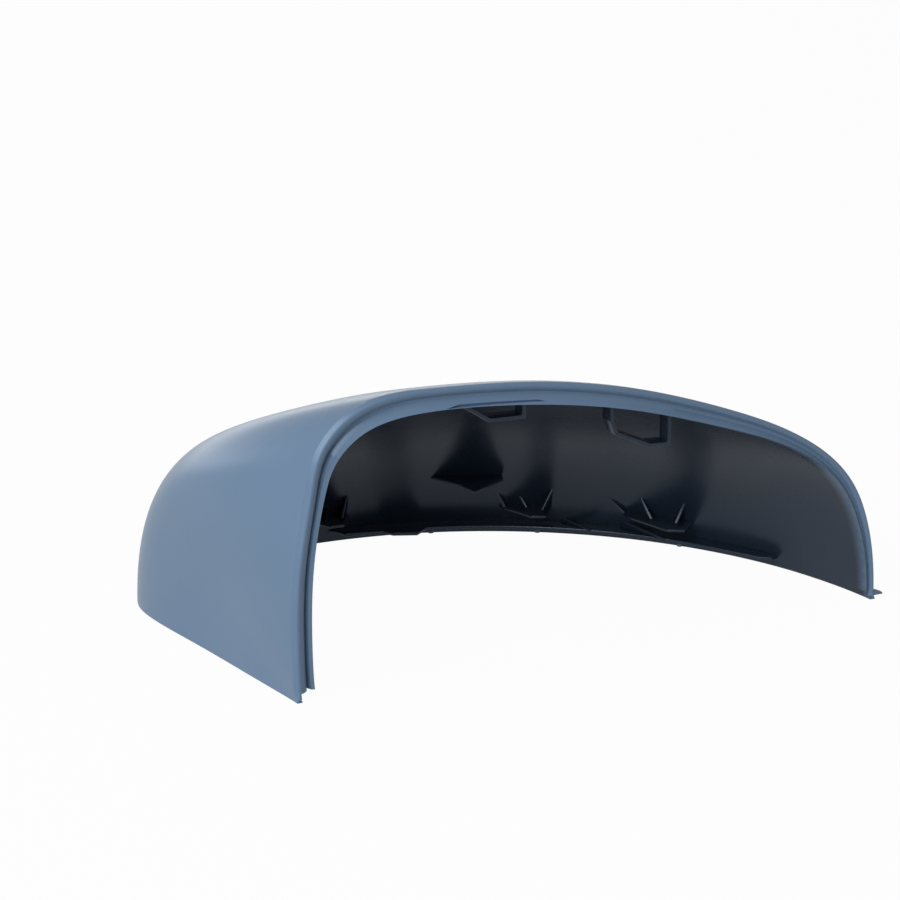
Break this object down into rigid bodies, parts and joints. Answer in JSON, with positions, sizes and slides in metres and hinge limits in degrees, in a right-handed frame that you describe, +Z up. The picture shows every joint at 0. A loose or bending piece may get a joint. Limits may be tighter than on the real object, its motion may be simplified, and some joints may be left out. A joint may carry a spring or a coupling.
{
  "type": "wing mirror cover",
  "caption": "Primed outer cover of a car wing mirror: a domed plastic shell with a flat end wall, a channelled rim, and clip brackets, loops and a ledge inside.",
  "frame": {"origin": "middle of the cover's footprint, in the plane of its bottom edge", "axes": "+X along the rim from the end wall to the outer tip, +Y from the rim towards the domed front, +Z up"},
  "size_m": [0.2314, 0.1312, 0.0979],
  "materials": {
    "primed_plastic": "matte grey-blue primer outside, bare satin black plastic inside"
  },
  "bodies": {
    "root": {"mirror_cover": "primed_plastic"}
  },
  "joints": []
}
